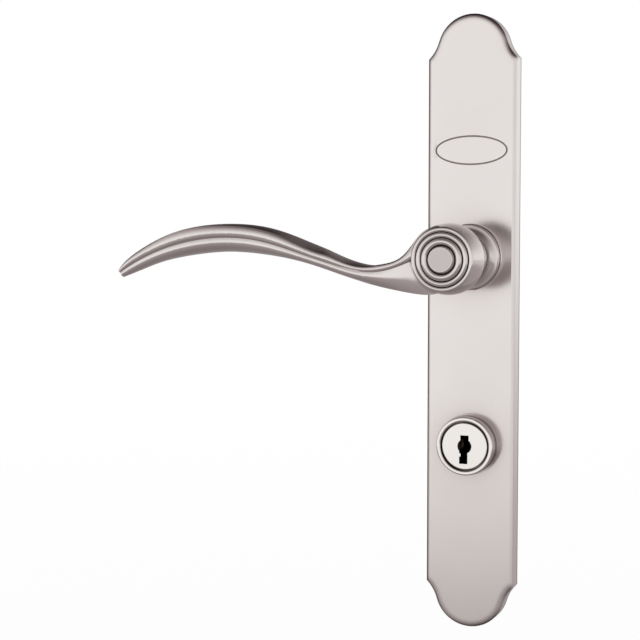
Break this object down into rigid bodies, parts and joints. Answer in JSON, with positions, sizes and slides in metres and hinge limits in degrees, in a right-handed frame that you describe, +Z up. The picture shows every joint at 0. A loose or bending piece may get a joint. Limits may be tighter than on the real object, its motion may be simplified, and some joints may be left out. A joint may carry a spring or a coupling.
{
  "type": "storm door handle set",
  "caption": "Outside trim of a storm door handle: tall plate with arched ends, wave lever on a ringed hub, and a key cylinder with tailpiece below.",
  "frame": {"origin": "on the spindle's axis, in the plane of the plate's back, where it meets the door", "axes": "+Z up along the plate, +Y into the door, so the outside is towards -Y and the lever points to -X"},
  "size_m": [0.1385, 0.0918, 0.216],
  "materials": {
    "satin_nickel": "satin nickel plate, brushed",
    "bright_nickel": "polished nickel plate",
    "bearing_plastic": "moulded bearing plastic",
    "zinc_steel": "zinc-plated steel",
    "zinc_alloy": "raw die-cast zinc",
    "spring_steel": "blued spring steel",
    "brass": "machined brass"
  },
  "bodies": {
    "trim": {"escutcheon_plate": "satin_nickel", "mounting_posts": "zinc_steel", "lever_collar": "satin_nickel", "lever_bushing": "bearing_plastic", "spring_housing": "zinc_alloy", "housing_screws": "zinc_steel", "return_spring": "spring_steel", "thrust_washer": "zinc_steel", "cylinder_collar": "bright_nickel", "lock_cylinder_shell": "brass", "driver_pins": "brass", "pin_springs": "spring_steel", "chamber_cap": "brass"},
    "lever": {"lever": "satin_nickel", "spindle": "zinc_steel", "spindle_pin": "spring_steel", "spring_driver": "zinc_steel", "retaining_ring": "spring_steel"},
    "plug": {"lock_plug": "bright_nickel", "key_pins": "brass", "plug_cap": "brass", "tailpiece": "zinc_steel"}
  },
  "joints": [
    {"name": "lever_turn", "type": "hinge", "parent": "trim", "child": "lever", "pos_m": [0, 0, 0], "axis": [0, -1, 0], "range_deg": [0, 40], "stiffness_Nm_per_rad": 0.8, "springref_deg": -34.38, "deforming": ["return_spring"]},
    {"name": "key_turn", "type": "hinge", "parent": "trim", "child": "plug", "pos_m": [0, 0, -0.066], "axis": [0, -1, 0], "range_deg": [-90, 90]}
  ]
}
